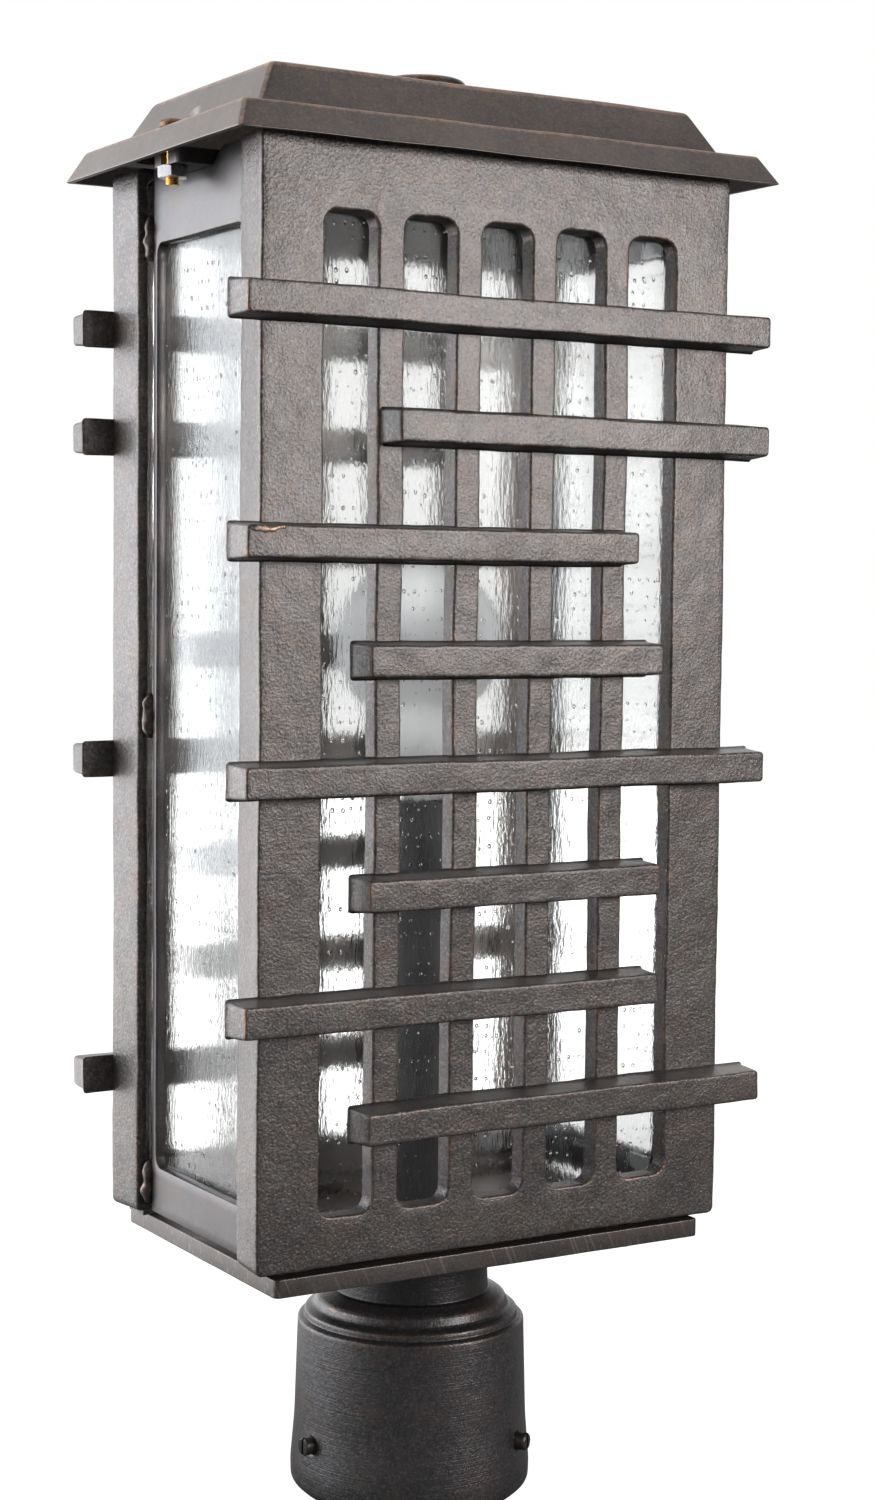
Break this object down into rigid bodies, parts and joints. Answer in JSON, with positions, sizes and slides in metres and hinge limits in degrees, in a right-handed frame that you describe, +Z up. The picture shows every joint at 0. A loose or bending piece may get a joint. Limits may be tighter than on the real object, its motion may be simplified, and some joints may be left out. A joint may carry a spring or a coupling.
{
  "type": "post-top lantern",
  "caption": "Box lantern on a slip-on post fitter: cast panels with slots and staggered bars, seeded glass, screwed-down hipped roof and a screw-base lamp.",
  "frame": {"origin": "centre of the post fitter's mouth, on the axis of the post", "axes": "+Z up along the post, front panel faces -Y, +X to the right seen from the front"},
  "size_m": [0.213, 0.142, 0.507],
  "materials": {
    "fitter_paint": "cast aluminium, dark oil-rubbed bronze paint, brushed streaks",
    "plate_paint": "flat aluminium plate, dark oil-rubbed bronze paint",
    "panel_paint": "sand-cast aluminium, oil-rubbed bronze paint with copper-rubbed edges",
    "frame_paint": "cast aluminium, oil-rubbed bronze paint",
    "weld_paint": "weld beads, oil-rubbed bronze paint",
    "roof_paint": "sand-cast aluminium, oil-rubbed bronze paint with copper-rubbed edges",
    "knob_paint": "turned aluminium, oil-rubbed bronze paint",
    "sleeve_paint": "drawn aluminium tube, dark satin paint",
    "dark_screws": "steel screws, blackened",
    "zinc_steel": "steel, bright zinc",
    "clip_steel": "bent sheet steel, zinc",
    "roof_screw_brass": "brass, slotted",
    "shell_brass": "drawn brass",
    "ground_screw": "steel screw, green",
    "holder_plastic": "moulded phenolic, black",
    "lamp_metal": "rolled aluminium",
    "lamp_insulator": "black glass",
    "lamp_glass": "blown glass, frosted white inside",
    "seeded_glass": "seeded sheet glass, wavy, with small bubbles"
  },
  "bodies": {
    "lantern": {"post_fitter": "fitter_paint", "base_plate": "plate_paint", "base_screws": "dark_screws", "ground_screw": "ground_screw", "stem": "zinc_steel", "lower_lock_nut": "zinc_steel", "upper_lock_nut": "zinc_steel", "lamp_sleeve": "sleeve_paint", "holder_body": "holder_plastic", "holder_shell": "shell_brass", "holder_contact": "shell_brass", "front_panel": "panel_paint", "back_panel": "panel_paint", "left_side_frame": "frame_paint", "right_side_frame": "frame_paint", "tack_welds": "weld_paint", "front_glass": "seeded_glass", "front_glass_clips": "clip_steel", "front_clip_screws": "zinc_steel", "right_glass": "seeded_glass", "right_glass_clips": "clip_steel", "right_clip_screws": "zinc_steel", "back_glass": "seeded_glass", "back_glass_clips": "clip_steel", "back_clip_screws": "zinc_steel", "left_glass": "seeded_glass", "left_glass_clips": "clip_steel", "left_clip_screws": "zinc_steel", "left_roof_ear": "frame_paint", "right_roof_ear": "frame_paint"},
    "roof": {"roof": "roof_paint", "roof_knob": "knob_paint", "knob_screw": "zinc_steel", "left_roof_screw": "roof_screw_brass", "right_roof_screw": "roof_screw_brass"},
    "left_nut": {"left_roof_nut": "zinc_steel"},
    "right_nut": {"right_roof_nut": "zinc_steel"},
    "lamp": {"lamp_eyelet": "lamp_metal", "lamp_insulator": "lamp_insulator", "lamp_base": "lamp_metal", "lamp_glass": "lamp_glass"},
    "set_screw_1": {"set_screw_1": "dark_screws"},
    "set_screw_2": {"set_screw_2": "dark_screws"},
    "set_screw_3": {"set_screw_3": "dark_screws"}
  },
  "joints": [
    {"name": "roof_lift", "type": "slide", "parent": "lantern", "child": "roof", "axis": [0, 0, 1], "range_m": [0, 0.15]},
    {"name": "left_nut_run", "type": "slide", "parent": "lantern", "child": "left_nut", "axis": [0, 0, -1], "range_m": [0, 0.008]},
    {"name": "right_nut_run", "type": "slide", "parent": "lantern", "child": "right_nut", "axis": [0, 0, -1], "range_m": [0, 0.008]},
    {"name": "lamp_unscrew", "type": "slide", "parent": "lantern", "child": "lamp", "axis": [0, 0, 1], "range_m": [0, 0.028]},
    {"name": "set_screw_1_drive", "type": "slide", "parent": "lantern", "child": "set_screw_1", "axis": [0.9962, 0.0872, 0], "range_m": [-0.003, 0.002]},
    {"name": "set_screw_2_drive", "type": "slide", "parent": "lantern", "child": "set_screw_2", "axis": [-0.5736, 0.8192, 0], "range_m": [-0.003, 0.002]},
    {"name": "set_screw_3_drive", "type": "slide", "parent": "lantern", "child": "set_screw_3", "axis": [-0.4226, -0.9063, 0], "range_m": [-0.003, 0.002]}
  ]
}
